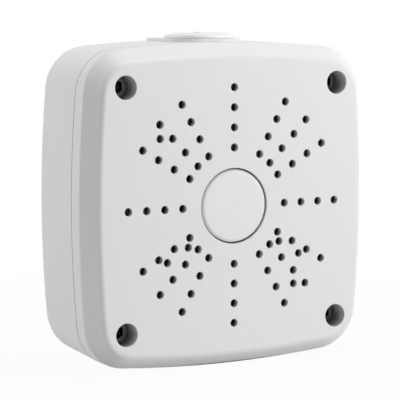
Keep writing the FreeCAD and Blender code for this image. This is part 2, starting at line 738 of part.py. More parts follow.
def makeEarthScrew():
    body = newBody("earth_screw")
    shank = "Sizes.earth_thread / 2 - Sizes.thread_clearance"
    under = "Sizes.earth_seat + Sizes.earth_washer_thickness + Sizes.spring_washer_thickness"
    top = under + " + Sizes.earth_head_height"
    end = "Sizes.earth_seat - Sizes.earth_length"
    head = "Sizes.earth_head / 2"
    sketch = newSketch(body, "earth_profile", "XY_Plane")
    polygon(sketch, [("0", "-(" + top + ")"), (head + " - Sizes.earth_head_chamfer", "-(" + top + ")"),
                     (head, "Sizes.earth_head_chamfer - (" + top + ")"), (head, "-(" + under + ")"),
                     (shank, "-(" + under + ")"), (shank, "-(" + end + ") - Sizes.earth_tip_chamfer"),
                     (shank + " - Sizes.earth_tip_chamfer", "-(" + end + ")"),
                     ("0", "-(" + end + ")")])
    turned(body, "Revolution", sketch)
    slot = newSketch(body, "earth_slot", offset=top)
    halfSlot = "Sizes.earth_slot / 2"
    polygon(slot, [("-Sizes.earth_head", "-" + halfSlot), ("Sizes.earth_head", "-" + halfSlot),
                   ("Sizes.earth_head", halfSlot), ("-Sizes.earth_head", halfSlot)])
    pocket(body, slot, "Sizes.earth_head_height / 2")
    atEarth(body)
    return body


def makeEarthWasher():
    body = newBody("earth_washer")
    ring(body, "earth_washer_profile", "Sizes.earth_washer / 2",
         "Sizes.earth_thread / 2 + Sizes.washer_hole_gap",
         "-Sizes.earth_seat - Sizes.earth_washer_thickness", "-Sizes.earth_seat")
    atEarth(body)
    return body


def makeSpringWasher():
    body = newBody("earth_spring_washer")
    seat = "-Sizes.earth_seat - Sizes.earth_washer_thickness"
    ring(body, "spring_profile", "Sizes.spring_washer / 2",
         "Sizes.earth_thread / 2 + Sizes.washer_hole_gap",
         seat + " - Sizes.spring_washer_thickness", seat)
    slit = newSketch(body, "spring_slit", offset="Sizes.earth_seat + Sizes.earth_washer_thickness "
                     "+ Sizes.spring_washer_thickness")
    halfSlit = "Sizes.spring_washer_slit / 2"
    polygon(slit, [("Sizes.earth_thread / 4", "-" + halfSlit), ("Sizes.spring_washer", "-" + halfSlit),
                   ("Sizes.spring_washer", halfSlit), ("Sizes.earth_thread / 4", halfSlit)])
    pocket(body, slit)
    atEarth(body)
    return body


pieces = [makeBackBox(), makeCover(), makeGasket()]
for corner in range(4):
    pieces.append(makeScrew(corner))
    pieces.append(makeScrewSeal(corner))
    pieces.append(makeRetainer(corner))
pieces += [makeCentrePlug(), makePlugSeal(), makeSidePlug(), makeSideSeal(), makeGrommet()]
pieces += [makeEarthScrew(), makeEarthWasher(), makeSpringWasher()]
doc.recompute()

for item in doc.Objects:
    if "Invalid" in item.State or "Error" in item.State:
        raise RuntimeError(item.Name + " failed: " + str(item.State))
for piece in pieces:
    if piece.Shape.isNull() or not piece.Shape.isValid():
        raise RuntimeError(piece.Label + " has no valid shape")

os.makedirs("parts", exist_ok=True)
for piece in pieces:
    piece.Shape.exportStep("parts/" + piece.Label + ".step")
    print(piece.Label, len(piece.Shape.Solids), round(piece.Shape.Volume, 1))
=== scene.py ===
import bpy
import bmesh
import math
from mathutils import Euler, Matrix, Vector


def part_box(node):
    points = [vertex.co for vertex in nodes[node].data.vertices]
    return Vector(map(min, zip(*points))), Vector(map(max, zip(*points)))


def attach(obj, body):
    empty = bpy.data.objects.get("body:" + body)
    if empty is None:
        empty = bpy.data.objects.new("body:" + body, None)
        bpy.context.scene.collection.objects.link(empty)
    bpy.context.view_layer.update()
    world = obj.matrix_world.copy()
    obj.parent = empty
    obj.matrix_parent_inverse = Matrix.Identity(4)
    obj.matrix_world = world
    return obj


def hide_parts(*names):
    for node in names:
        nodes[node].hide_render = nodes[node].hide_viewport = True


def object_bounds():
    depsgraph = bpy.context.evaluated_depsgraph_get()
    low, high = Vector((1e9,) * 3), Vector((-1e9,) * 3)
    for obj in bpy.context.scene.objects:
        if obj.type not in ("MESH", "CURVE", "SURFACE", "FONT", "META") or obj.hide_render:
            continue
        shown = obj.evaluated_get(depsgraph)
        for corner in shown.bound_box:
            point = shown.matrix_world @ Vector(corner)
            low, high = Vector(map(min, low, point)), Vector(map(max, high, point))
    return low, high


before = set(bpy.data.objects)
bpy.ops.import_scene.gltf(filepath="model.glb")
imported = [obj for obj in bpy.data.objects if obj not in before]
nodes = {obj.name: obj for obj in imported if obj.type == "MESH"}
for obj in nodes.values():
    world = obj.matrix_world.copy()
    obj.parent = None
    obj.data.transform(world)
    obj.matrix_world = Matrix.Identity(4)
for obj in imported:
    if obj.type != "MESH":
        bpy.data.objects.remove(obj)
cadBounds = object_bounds()
scene = bpy.context.scene

# Camera junction box: white powder-coated casting, seen from its left front.
# Metres, the wall at y = 0, the front at y = -0.045, z up.

millimetre = 0.001
screwNumbers = range(1, 5)
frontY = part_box("cover")[0].y
screwLow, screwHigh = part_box("cover_screw_1")
screwPlace = 0.5 * (screwLow.x + screwHigh.x)
plugLow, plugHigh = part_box("side_plug")
entryY = 0.5 * (plugLow.y + plugHigh.y)

# Rays that soften an edge, and that look into a gap
edgeSamples = 6
gapSamples = 8


# Sets a node's inputs: sockets are linked, plain values are written
def feed(tree, node, inputs):
    for key, value in inputs.items():
        if isinstance(value, bpy.types.NodeSocket):
            tree.links.new(value, node.inputs[key])
        else:
            node.inputs[key].default_value = value
    return node


def addNode(tree, kind, inputs=None, **settings):
    node = tree.nodes.new(kind)
    for name, value in settings.items():
        setattr(node, name, value)
    return feed(tree, node, inputs or {})


def doMath(tree, operation, first, second=0.0, third=0.0):
    inputs = {0: first, 1: second, 2: third}
    return addNode(tree, "ShaderNodeMath", inputs, operation=operation).outputs[0]


def split(tree, vector):
    return addNode(tree, "ShaderNodeSeparateXYZ", {0: vector}).outputs


# 0 below low, 1 above high, smooth between
def ramp(tree, value, low, high):
    inputs = {"Value": value, "From Min": low, "From Max": high}
    node = addNode(tree, "ShaderNodeMapRange", inputs, interpolation_type="SMOOTHSTEP")
    return node.outputs["Result"]


def mixColour(tree, factor, first, second, blend="MIX"):
    inputs = {0: factor, 6: first, 7: second}
    node = addNode(tree, "ShaderNodeMix", inputs, data_type="RGBA", blend_type=blend)
    return node.outputs[2]


def opaque(colour):
    return colour + (1.0,)


def grey(value):
    return opaque((value, value, value))


# The darker and the lighter tone of a colour that varies by a share
def toneRange(look):
    shares = (1 - look["toneSpread"], 1 + look["toneSpread"])
    return [opaque(tuple(part * share for part in look["colour"])) for share in shares]


def emptyMaterial(name):
    material = bpy.data.materials.new(name)
    material.use_nodes = True
    tree = material.node_tree
    tree.nodes.clear()
    output = tree.nodes.new("ShaderNodeOutputMaterial")
    place = tree.nodes.new("ShaderNodeTexCoord").outputs["Object"]
    return material, tree, output, place


def newMaterial(name):
    material, tree, output, place = emptyMaterial(name)
    shader = tree.nodes.new("ShaderNodeBsdfPrincipled")
    tree.links.new(shader.outputs[0], output.inputs["Surface"])
    return material, tree, shader, place


def noise(tree, place, size, detail, roughness=0.5):
    inputs = {"Vector": place, "Scale": 1.0 / size, "Detail": detail, "Roughness": roughness}
    return addNode(tree, "ShaderNodeTexNoise", inputs).outputs["Fac"]


# Roughness that follows a value, half its spread to each side
def varyRoughness(tree, value, look):
    middle, half = look["roughness"], look["roughnessSpread"] / 2
    inputs = {"Value": value, "To Min": middle - half, "To Max": middle + half}
    return addNode(tree, "ShaderNodeMapRange", inputs).outputs["Result"]


# Normal of the skin with its edges softened
def softEdges(tree, radius):
    node = addNode(tree, "ShaderNodeBevel", {"Radius": radius}, samples=edgeSamples)
    return node.outputs["Normal"]


def bump(tree, height, distance, below=None):
    inputs = {"Height": height, "Distance": distance}
    if below:
        inputs["Normal"] = below
    return addNode(tree, "ShaderNodeBump", inputs).outputs["Normal"]


# 1 where the skin's normal reaches less than a limit along an axis
def facesAway(tree, axis, limit):
    normal = tree.nodes.new("ShaderNodeTexCoord").outputs["Normal"]
    return doMath(tree, "LESS_THAN", doMath(tree, "ABSOLUTE", split(tree, normal)[axis]), limit)


# Distance of the point from an axis along Y or Z, and its two parts
def axisDistance(tree, across, up, centreAcross, centreUp):
    a = doMath(tree, "SUBTRACT", across, centreAcross)
    b = doMath(tree, "SUBTRACT", up, centreUp)
    squares = doMath(tree, "MULTIPLY_ADD", a, a, doMath(tree, "MULTIPLY", b, b))
    return doMath(tree, "SQRT", squares), a, b


# The same for four axes along Y that mirror each other
def mirroredDistance(tree, x, z, centreX, centreZ):
    x = doMath(tree, "ABSOLUTE", x)
    z = doMath(tree, "ABSOLUTE", z)
    return axisDistance(tree, x, z, centreX, centreZ)


# Height of a screw thread's groove on a round wall, from 0 to 0.5
def threadWave(tree, a, b, along, pitch):
    turn = doMath(tree, "DIVIDE", doMath(tree, "ARCTAN2", b, a), 2 * math.pi)
    phase = doMath(tree, "SUBTRACT", doMath(tree, "DIVIDE", along, pitch), turn)
    return doMath(tree, "PINGPONG", phase, 0.5)


# White powder coat: a satin skin with orange peel and a faint speckle.
# Here and below, a noise is given as its size, its detail and, in some, its roughness.
paintLook = {
    "colour": (0.845, 0.845, 0.848),
    "toneSpread": 0.012,
    "speckle": (0.35 * millimetre, 3.0),
    "speckleShare": 0.6,
    "cloud": (22 * millimetre, 1.0),
    "peel": (1.5 * millimetre, 1.5),
    "peelHeight": 0.012 * millimetre,
    "grain": (0.18 * millimetre, 2.0),
    "grainHeight": 0.0025 * millimetre,
    "roughness": 0.46,
    "roughnessSpread": 0.07,
    "ior": 1.5,
    "plateMargin": 8 * millimetre,  # the drilled plate reaches this far beyond the screws
    "wallFacing": 0.5,              # the wall of a hole faces the front less than this
    "wellShadeRim": 1.0,                 # painted shade: tone of a hole's wall at its mouth
    "wellShadeFloor": 0.02,              # and at its far end
    "wellShadeDepth": 3.6 * millimetre,
    "boreReach": 5.5 * millimetre,  # a wall this near a screw's axis is its bore's
    "boreShadeRim": 0.9,                 # the same painted shade in a screw's bore, darker on its lower side
    "boreShadeFloor": (0.28, 0.55),
    "boreShadeDepth": 7 * millimetre,
    "boreShade": (-3 * millimetre, 3 * millimetre),
    "rimSoftness": 0.35 * millimetre,
    # Painted shade in narrow gaps and along the parting line
    "gapShadeReach": 1.4 * millimetre,
    "gapShadeShut": 0.25,
    "gapShadeOpen": 0.60,                # how open a spot has to be to stay light
    "seamShadeOpen": 0.92,               # the same beside the parting line, where the painted shade is darker
    "seamPlace": -30 * millimetre,
    "seamShadeReach": 2.5 * millimetre,
    "gapShadeTone": 0.02,
}


# Painted shade: darkens what lies deep in a narrow gap
def paintGapShade(tree, colour, look, openAt):
    inputs = {"Distance": look["gapShadeReach"]}
    clear = addNode(tree, "ShaderNodeAmbientOcclusion", inputs, samples=gapSamples).outputs["AO"]
    seen = ramp(tree, clear, look["gapShadeShut"], openAt)
    dark = mixColour(tree, 1.0, colour, grey(look["gapShadeTone"]), "MULTIPLY")
    return mixColour(tree, seen, dark, colour)


# How open a spot of the paint has to be to stay out of the painted gap shade, by its distance from
# the parting plane
def seamShadeOpening(tree, y):
    look = paintLook
    away = doMath(tree, "ABSOLUTE", doMath(tree, "SUBTRACT", y, look["seamPlace"]))
    near = doMath(tree, "LESS_THAN", away, look["seamShadeReach"])
    return doMath(tree, "MULTIPLY_ADD", near, look["seamShadeOpen"] - look["gapShadeOpen"], look["gapShadeOpen"])


def powderCoat(tree, shader, place, softness=None):
    look = paintLook
    speckle = noise(tree, place, *look["speckle"])
    cloud = noise(tree, place, *look["cloud"])
    mixed = doMath(tree, "ADD", doMath(tree, "MULTIPLY", speckle, look["speckleShare"]),
                   doMath(tree, "MULTIPLY", cloud, 1 - look["speckleShare"]))
    soft = softEdges(tree, softness) if softness else None
    peeled = bump(tree, noise(tree, place, *look["peel"]), look["peelHeight"], soft)
    normal = bump(tree, noise(tree, place, *look["grain"]), look["grainHeight"], peeled)
    feed(tree, shader, {"Roughness": varyRoughness(tree, cloud, look), "IOR": look["ior"]})
    return mixColour(tree, mixed, *toneRange(look)), normal


# The cover: painted shade darkens the walls of its holes and bores with depth, the bores' walls
# more on their lower side; its outer skin gets painted gap shade
def makeCoverPaint():
    look = paintLook
    material, tree, shader, place = newMaterial("coverPaint")
    x, y, z = split(tree, place)
    across = doMath(tree, "MAXIMUM", doMath(tree, "ABSOLUTE", x), doMath(tree, "ABSOLUTE", z))
    inPlate = doMath(tree, "LESS_THAN", across, screwPlace + look["plateMargin"])
    softness = doMath(tree, "MULTIPLY", inPlate, look["rimSoftness"])
    colour, normal = powderCoat(tree, shader, place, softness)
    inWall = doMath(tree, "MULTIPLY", facesAway(tree, "Y", look["wallFacing"]), inPlate)
    fromScrew, _, outward = mirroredDistance(tree, x, z, screwPlace, screwPlace)
    inBore = doMath(tree, "LESS_THAN", fromScrew, look["boreReach"])
    depth = doMath(tree, "SUBTRACT", y, frontY)
    holeShade = mixColour(tree, ramp(tree, depth, 0.0, look["wellShadeDepth"]),
                         grey(look["wellShadeRim"]), grey(look["wellShadeFloor"]))
    upward = doMath(tree, "MULTIPLY", doMath(tree, "SIGN", z), outward)
    boreFloorShade = mixColour(tree, ramp(tree, upward, *look["boreShade"]),
                          grey(look["boreShadeFloor"][0]), grey(look["boreShadeFloor"][1]))
    boreWallShade = mixColour(tree, ramp(tree, depth, 0.0, look["boreShadeDepth"]),
                         grey(look["boreShadeRim"]), boreFloorShade)
    tone = mixColour(tree, inBore, holeShade, boreWallShade)
    # Painted gap shade on the outer skin
    outside = paintGapShade(tree, colour, look, seamShadeOpening(tree, y))
    # The hole and bore walls multiplied by their painted shade
    shadedInside = mixColour(tree, 1.0, colour, tone, "MULTIPLY")
    feed(tree, shader, {"Base Color": mixColour(tree, inWall, outside, shadedInside), "Normal": normal})
    return material


# The back box: the same paint with painted gap shade below its top, and bare metal with a thread
# where it is tapped
boxLook = {
    "bareMetal": (0.62, 0.62, 0.63),
    "screwBore": 3.12 * millimetre,
    "screwPitch": 1 * millimetre,
    "screwFacing": 0.4,             # a tapped wall faces along its own axis less than this
    "entryBore": 10.62 * millimetre,
    "entryPitch": 1.814 * millimetre,
    "entryFacing": 0.97,
    "entryBelow": 2 * millimetre,   # the entry's thread starts this far below the plug
    "threadHeight": 0.35 * millimetre,
    "gapShadeTop": 66 * millimetre,     # no painted gap shade above this height
}


def makeBoxPaint():
    look = boxLook
    material, tree, shader, place = newMaterial("boxPaint")
    colour, normal = powderCoat(tree, shader, place)
    x, y, z = split(tree, place)
    fromScrew, a, b = mirroredDistance(tree, x, z, screwPlace, screwPlace)
    inScrew = doMath(tree, "MULTIPLY", doMath(tree, "LESS_THAN", fromScrew, look["screwBore"]),
                     facesAway(tree, "Y", look["screwFacing"]))
    screwWave = threadWave(tree, a, b, y, look["screwPitch"])
    fromEntry, a, b = axisDistance(tree, x, y, 0.0, entryY)
    high = doMath(tree, "GREATER_THAN", z, plugLow.z - look["entryBelow"])
    near = doMath(tree, "LESS_THAN", fromEntry, look["entryBore"])
    inEntry = doMath(tree, "MULTIPLY", doMath(tree, "MULTIPLY", near, high),
                     facesAway(tree, "Z", look["entryFacing"]))
    entryWave = threadWave(tree, a, b, z, look["entryPitch"])
    bare = doMath(tree, "MAXIMUM", inScrew, inEntry)
    wave = doMath(tree, "ADD", doMath(tree, "MULTIPLY", inScrew, screwWave),
                  doMath(tree, "MULTIPLY", inEntry, entryWave))
    # Painted shade in gaps and along the parting line
    gapShaded = paintGapShade(tree, colour, paintLook, seamShadeOpening(tree, y))
    painted = mixColour(tree, doMath(tree, "LESS_THAN", z, look["gapShadeTop"]), colour, gapShaded)
    feed(tree, shader, {
        "Base Color": mixColour(tree, bare, painted, opaque(look["bareMetal"])),
        "Metallic": bare,
        "Normal": bump(tree, wave, look["threadHeight"], normal),
    })
    return material


# White moulded plastic of the two plugs, with painted shade in its gaps
plasticLook = {
    "colour": (0.855, 0.857, 0.86),
    "toneSpread": 0.010,
    "flow": (9 * millimetre, 2.0),
    "grain": (0.25 * millimetre, 2.0),
    "grainHeight": 0.003 * millimetre,
    "roughness": 0.40,
    "roughnessSpread": 0.06,
    "ior": 1.5,
    "subsurface": 0.04,
    "subsurfaceReach": (2 * millimetre, 2 * millimetre, 2 * millimetre),
    "gapShadeReach": 1 * millimetre,
    "gapShadeShut": 0.15,
    "gapShadeOpen": 0.55,
    "gapShadeTone": 0.08,
}

# The top plug stands on its seal, so light gets under its flange and its painted gap shade is faint
entryLook = dict(plasticLook, colour=(0.92, 0.92, 0.922), gapShadeTone=0.9)


def makePlugPlastic(name, look):
    material, tree, shader, place = newMaterial(name)
    tone = mixColour(tree, noise(tree, place, *look["flow"]), *toneRange(look))
    grain = noise(tree, place, *look["grain"])
    # The base colour carries painted shade in the gaps
    feed(tree, shader, {
        "Base Color": paintGapShade(tree, tone, look, look["gapShadeOpen"]),
        "Roughness": varyRoughness(tree, grain, look),
        "Normal": bump(tree, grain, look["grainHeight"]),
        "IOR": look["ior"],
        "Subsurface Weight": look["subsurface"],
        "Subsurface Radius": look["subsurfaceReach"],
    })
    return material


# Rubber: matt, faintly dusty, with a fine grain from its mould
rubberLook = {
    "sealRubber": {"dark": (0.018, 0.018, 0.019), "dusty": (0.05, 0.05, 0.052), "roughness": 0.72},
    "grommetRubber": {"dark": (0.040, 0.040, 0.042), "dusty": (0.085, 0.085, 0.088),
                      "roughness": 0.66},
    "dust": (6 * millimetre, 4.0, 0.6),
    "dustRange": (0.35, 0.75),
    "dustRoughness": 0.12,
    "grain": (0.3 * millimetre, 3.0),
    "grainHeight": 0.01 * millimetre,
    "specular": 0.35,
}


def makeRubber(name):
    look = dict(rubberLook, **rubberLook[name])
    material, tree, shader, place = newMaterial(name)
    dust = ramp(tree, noise(tree, place, *look["dust"]), *look["dustRange"])
    grain = noise(tree, place, *look["grain"])
    feed(tree, shader, {
        "Base Color": mixColour(tree, dust, opaque(look["dark"]), opaque(look["dusty"])),
        "Roughness": doMath(tree, "MULTIPLY_ADD", dust, look["dustRoughness"], look["roughness"]),
        "Normal": bump(tree, grain, look["grainHeight"]),
        "Specular IOR Level": look["specular"],
    })
    return material


# Turned metal: fine rings about the piece's own axis, and a little staining
metalLook = {
    "screwSteel": {"bright": (0.30, 0.30, 0.31), "dull": (0.17, 0.17, 0.175), "roughness": 0.34},
    "earthBrass": {"bright": (0.72, 0.54, 0.24), "dull": (0.52, 0.37, 0.15), "roughness": 0.30},
    "springSteel": {"bright": (0.55, 0.55, 0.56), "dull": (0.36, 0.36, 0.37), "roughness": 0.36},
    "rings": (0.12 * millimetre, 2.0),
    "ringHeight": 0.002 * millimetre,
    "ringShare": 0.4,
    "stain": (2.5 * millimetre, 3.0, 0.6),
    "stainRoughness": 0.16,
    "socketShadeTone": 0.01,             # painted shade in the bottom of a key socket
    "socketShadeReach": 3.1 * millimetre,
    "socketShadeMouth": 0.3 * millimetre,
    "socketShadeFade": 0.7 * millimetre,
}


# headFront is the front plane of a head with a key socket, whose bottom gets painted shade
def makeTurnedMetal(name, centre, headFront=None):
    look = dict(metalLook, **metalLook[name])
    material, tree, shader, place = newMaterial(name)
    x, y, z = split(tree, place)
    distance = mirroredDistance(tree, x, z, abs(centre[0]), abs(centre[1]))[0]
    along = doMath(tree, "ADD", distance, y)
    ringPlace = addNode(tree, "ShaderNodeCombineXYZ", {0: along}).outputs[0]
    rings = noise(tree, ringPlace, *look["rings"])
    stain = noise(tree, place, *look["stain"])
    stained = doMath(tree, "MULTIPLY", stain, 1 - look["ringShare"])
    tone = doMath(tree, "MULTIPLY_ADD", rings, look["ringShare"], stained)
    colour = mixColour(tree, tone, opaque(look["dull"]), opaque(look["bright"]))
    # Painted shade deep in the key socket
    if headFront is not None:
        mouth = headFront + look["socketShadeMouth"]
        within = doMath(tree, "LESS_THAN", distance, look["socketShadeReach"])
        deep = ramp(tree, y, mouth, mouth + look["socketShadeFade"])
        colour = mixColour(tree, doMath(tree, "MULTIPLY", within, deep), colour,
                           grey(look["socketShadeTone"]))
    spread = look["stainRoughness"]
    feed(tree, shader, {
        "Base Color": colour,
        "Roughness": doMath(tree, "MULTIPLY_ADD", stain, spread, look["roughness"] - spread / 2),
        "Normal": bump(tree, rings, look["ringHeight"]),
        "Metallic": 1.0,
    })
    return material


# Natural nylon of the clip washers
nylonLook = {
    "colour": (0.74, 0.73, 0.68),
    "pale": (0.82, 0.81, 0.77),
    "cloud": (3 * millimetre, 2.0),
    "grain": (0.2 * millimetre, 2.0),
    "grainHeight": 0.004 * millimetre,
    "roughness": 0.48,
    "cloudRoughness": 0.08,
    "subsurface": 0.1,
    "subsurfaceReach": (1 * millimetre, 1 * millimetre, 0.8 * millimetre),
}


def makeClipNylon():
    look = nylonLook
    material, tree, shader, place = newMaterial("clipNylon")
    cloud = noise(tree, place, *look["cloud"])
    grain = noise(tree, place, *look["grain"])
    feed(tree, shader, {
        "Base Color": mixColour(tree, cloud, opaque(look["colour"]), opaque(look["pale"])),
        "Roughness": doMath(tree, "MULTIPLY_ADD", cloud, look["cloudRoughness"], look["roughness"]),
        "Normal": bump(tree, grain, look["grainHeight"]),
        "Subsurface Weight": look["subsurface"],
        "Subsurface Radius": look["subsurfaceReach"],
    })
    return material


earthLow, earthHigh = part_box("earth_screw")
earthCentre = (0.5 * (earthLow.x + earthHigh.x), 0.5 * (earthLow.z + earthHigh.z))
coverPaint = makeCoverPaint()
boxPaint = makeBoxPaint()
plugPlastic = makePlugPlastic("plugPlastic", plasticLook)
entryPlastic = makePlugPlastic("entryPlastic", entryLook)
sealRubber = makeRubber("sealRubber")
grommetRubber = makeRubber("grommetRubber")
screwSteel = makeTurnedMetal("screwSteel", (screwPlace, screwPlace), screwLow.y)
springSteel = makeTurnedMetal("springSteel", earthCentre)
earthBrass = makeTurnedMetal("earthBrass", earthCentre)
clipNylon = makeClipNylon()
print("materials made")

finishes = {
    "back_box": boxPaint, "cover": coverPaint, "cover_gasket": sealRubber,
    "centre_plug": plugPlastic, "centre_plug_seal": sealRubber, "side_plug": entryPlastic,
    "side_plug_seal": sealRubber, "rear_grommet": grommetRubber, "earth_screw": earthBrass,
    "earth_washer": earthBrass, "earth_spring_washer": springSteel,
}
for number in screwNumbers:
    finishes["cover_screw_%d" % number] = screwSteel
    finishes["screw_seal_%d" % number] = sealRubber
    finishes["retaining_washer_%d" % number] = clipNylon
for name, finish in finishes.items():
    mesh = nodes[name].data
    mesh.materials.clear()
    mesh.materials.append(finish)
print("CAD pieces finished:", len(finishes))


def addObject(name, data):
    thing = bpy.data.objects.new(name, data)
    scene.collection.objects.link(thing)
    return thing


# Smooth shading, with a crease where faces meet at more than an angle
creaseDegrees = 32


def smooth(piece):
    mesh = piece.data
    mesh.shade_smooth()
    shape = bmesh.new()
    shape.from_mesh(mesh)
    for edge in shape.edges:
        if len(edge.link_faces) == 2:
            edge.smooth = edge.calc_face_angle(0) < math.radians(creaseDegrees)
    shape.to_mesh(mesh)
    shape.free()


# A screw thread cut into a turned blank by its own rule, then put in place.
# The blank's axis is its own Z axis; nothing nearer to it than the core is cut.
threadRule = {
    "flank": (0.08, 0.42),          # where on the wave the groove's flank begins and ends
    "runOut": 0.6,                  # length of a fading end, as a share of the pitch
    "sockets": {"Blank": "Geometry", "Pitch": "Float", "Depth": "Float", "Start": "Float",
                "End": "Float", "Core": "Float", "Place": "Vector", "Turn": "Vector"},
}


def makeThreadTree():
    tree = bpy.data.node_groups.new("threadCutter", "GeometryNodeTree")
    for name, kind in threadRule["sockets"].items():
        tree.interface.new_socket(name, in_out="INPUT", socket_type="NodeSocket" + kind)
    tree.interface.new_socket("Piece", in_out="OUTPUT", socket_type="NodeSocketGeometry")
    given = tree.nodes.new("NodeGroupInput").outputs
    position = addNode(tree, "GeometryNodeInputPosition").outputs[0]
    x, y, z = split(tree, position)
    flat = addNode(tree, "ShaderNodeCombineXYZ", {0: x, 1: y}).outputs[0]
    radius = addNode(tree, "ShaderNodeVectorMath", {0: flat}, operation="LENGTH").outputs["Value"]
    outward = addNode(tree, "ShaderNodeVectorMath", {0: flat}, operation="NORMALIZE").outputs[0]
    wave = threadWave(tree, x, y, z, given["Pitch"])
    groove = doMath(tree, "SUBTRACT", 1.0, ramp(tree, wave, *threadRule["flank"]))
    fade = doMath(tree, "MULTIPLY", given["Pitch"], threadRule["runOut"])
    begins = ramp(tree, z, given["Start"], doMath(tree, "ADD", given["Start"], fade))
    ends = ramp(tree, z, given["End"], doMath(tree, "SUBTRACT", given["End"], fade))
    outside = doMath(tree, "GREATER_THAN", radius, given["Core"])
    amount = doMath(tree, "MULTIPLY", doMath(tree, "MULTIPLY", groove, begins),
                    doMath(tree, "MULTIPLY", ends, outside))
    amount = doMath(tree, "MULTIPLY", amount, doMath(tree, "MULTIPLY", given["Depth"], -1.0))
    offset = addNode(tree, "ShaderNodeVectorMath", {0: outward, "Scale": amount}, operation="SCALE")
    cut = addNode(tree, "GeometryNodeSetPosition",
                  {"Geometry": given["Blank"], "Offset": offset.outputs["Vector"]})
    placed = addNode(tree, "GeometryNodeTransform",
                     {"Geometry": cut.outputs[0], "Translation": given["Place"],
                      "Rotation": given["Turn"]})
    addNode(tree, "NodeGroupOutput", {"Piece": placed.outputs[0]})
    return tree


threadTree = makeThreadTree()


# A turned blank about Z, from steps (radius, height) or (radius, height, "hex"),
# where the radius is half the width across the flats
def turnedBlank(name, steps, segments):
    shape = bmesh.new()
    rings = []
    for radius, height, *hexagon in steps:
        if radius == 0:
            rings.append([shape.verts.new((0, 0, height))])
            continue
        ring = []
        for index in range(segments):
            turn = 2 * math.pi * index / segments
            reach = radius
            if hexagon:
                reach /= math.cos((turn + math.pi / 6) % (math.pi / 3) - math.pi / 6)
            ring.append(shape.verts.new((reach * math.cos(turn), reach * math.sin(turn), height)))
        rings.append(ring)
    for one, two in zip(rings, rings[1:]):
        for index in range(segments):
            following = (index + 1) % segments
            if len(one) == 1:
                shape.faces.new((one[0], two[index], two[following]))
            elif len(two) == 1:
                shape.faces.new((one[index], two[0], one[following]))
            else:
                shape.faces.new((one[index], two[index], two[following], one[following]))
    bmesh.ops.recalc_face_normals(shape, faces=shape.faces)
    mesh = bpy.data.meshes.new(name)
    shape.to_mesh(mesh)
    shape.free()
    return mesh


# Steps that round a corner between two directions of a profile
def rounded(corner, before, after, size, count):
    corner = Vector(corner)
    start = corner + (Vector(before) - corner).normalized() * size
    end = corner + (Vector(after) - corner).normalized() * size
    steps = []
    for index in range(count + 1):
        share = index / count
        point = start * (1 - share) ** 2 + corner * 2 * share * (1 - share) + end * share ** 2
        steps.append(tuple(point))
    return steps


def evenSteps(radius, start, end, spacing):
    count = max(1, round(abs(end - start) / spacing))
    return [(radius, start + (end - start) * index / count) for index in range(1, count)]


# Puts the thread cutter on a blank and returns the finished plain mesh object
def cutThread(name, mesh, settings, finish, cutters=()):
    blank = addObject(name + "_blank", mesh)
    for index, cutter in enumerate(cutters):
        hole = blank.modifiers.new("hole%d" % index, "BOOLEAN")
        hole.operation = "DIFFERENCE"
        hole.solver = "EXACT"
        hole.object = cutter
    modifier = blank.modifiers.new("thread", "NODES")
    modifier.node_group = threadTree
    for item in threadTree.interface.items_tree:
        if item.name in settings:
            modifier[item.identifier] = settings[item.name]
    bpy.context.view_layer.update()
    evaluated = blank.evaluated_get(bpy.context.evaluated_depsgraph_get())
    result = bpy.data.meshes.new_from_object(evaluated)
    result.name = name
    result.materials.clear()
    result.materials.append(finish)
    for spent in (blank, *cutters):
        bpy.data.objects.remove(spent)
    return addObject(name, result)


# The back box as cast: towards the wall it is screwed to, its lower wall rises and its upper wall
# rises a little less; the seat of the entry pad stays where it is
castDraft = {
    "lowerRise": 1.8 * millimetre,
    "upperRise": 0.45 * millimetre,
    "frontPlane": -30 * millimetre,
    "from": 38 * millimetre,        # from the middle, where the rise begins and is full
    "full": 52 * millimetre,
    "bossKept": 8 * millimetre,     # round each screw's axis the casting stays straight
    "bossFree": 12 * millimetre,
    "padFoot": 67.5 * millimetre,
    "weld": 0.001 * millimetre,
}


def easeBetween(value, low, high):
    share = min(1.0, max(0.0, (value - low) / (high - low)))
    return share * share * (3 - 2 * share)


def makeDraftedBox():
    d = castDraft
    shape = bmesh.new()
    shape.from_mesh(nodes["back_box"].data)
    bmesh.ops.remove_doubles(shape, verts=shape.verts, dist=d["weld"])
    for point in shape.verts:
        x, y, z = point.co
        depth = min(1.0, max(0.0, (y - d["frontPlane"]) / -d["frontPlane"]))
        low = easeBetween(-z, d["from"], d["full"])
        high = easeBetween(z, d["from"], d["full"]) if z < d["padFoot"] else 0.0
        fromScrew = math.hypot(abs(x) - screwPlace, abs(z) - screwPlace)
        free = easeBetween(fromScrew, d["bossKept"], d["bossFree"])
        point.co.z = z + depth * free * (d["lowerRise"] * low + d["upperRise"] * high)
    mesh = bpy.data.meshes.new("drafted_box")
    shape.to_mesh(mesh)
    shape.free()
    mesh.materials.append(boxPaint)
    piece = addObject("drafted_box", mesh)
    smooth(piece)
    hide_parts("back_box")
    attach(piece, "case")


makeDraftedBox()
print("back box drafted")


# Captive cover screws: a round head with a key socket, a thin waist and a threaded end.
# Here and below, a rounded edge is given as its size and its number of steps.
screwSizes = {
    "head": 4.7 * millimetre,
    "headHeight": 3.4 * millimetre,
    "headEdge": (0.35 * millimetre, 4),
    "underEdge": (0.35 * millimetre / 3, 2),
    "socketHalf": 2.35 * millimetre,
    "socketDepth": 2.2 * millimetre,
    "socketEdge": 0.35 * millimetre,
    "socketDrill": 0.92,            # width and depth of the drilled cone under the socket,
    "socketCone": 0.6,              # as shares of half the socket
    "waist": 2.3 * millimetre,
    "waistEdge": (0.35 * millimetre, 3),
    "thread": 2.97 * millimetre,
    "threadLength": 8.25 * millimetre,
    "threadDepth": 0.55 * millimetre,
    "threadGap": 0.2 * millimetre,  # from the waist's skin out to the core
    "tipEdge": 0.7 * millimetre,
    "pitch": 1 * millimetre,
    "stepsPerTurn": 12,
    "segments": 48,
}


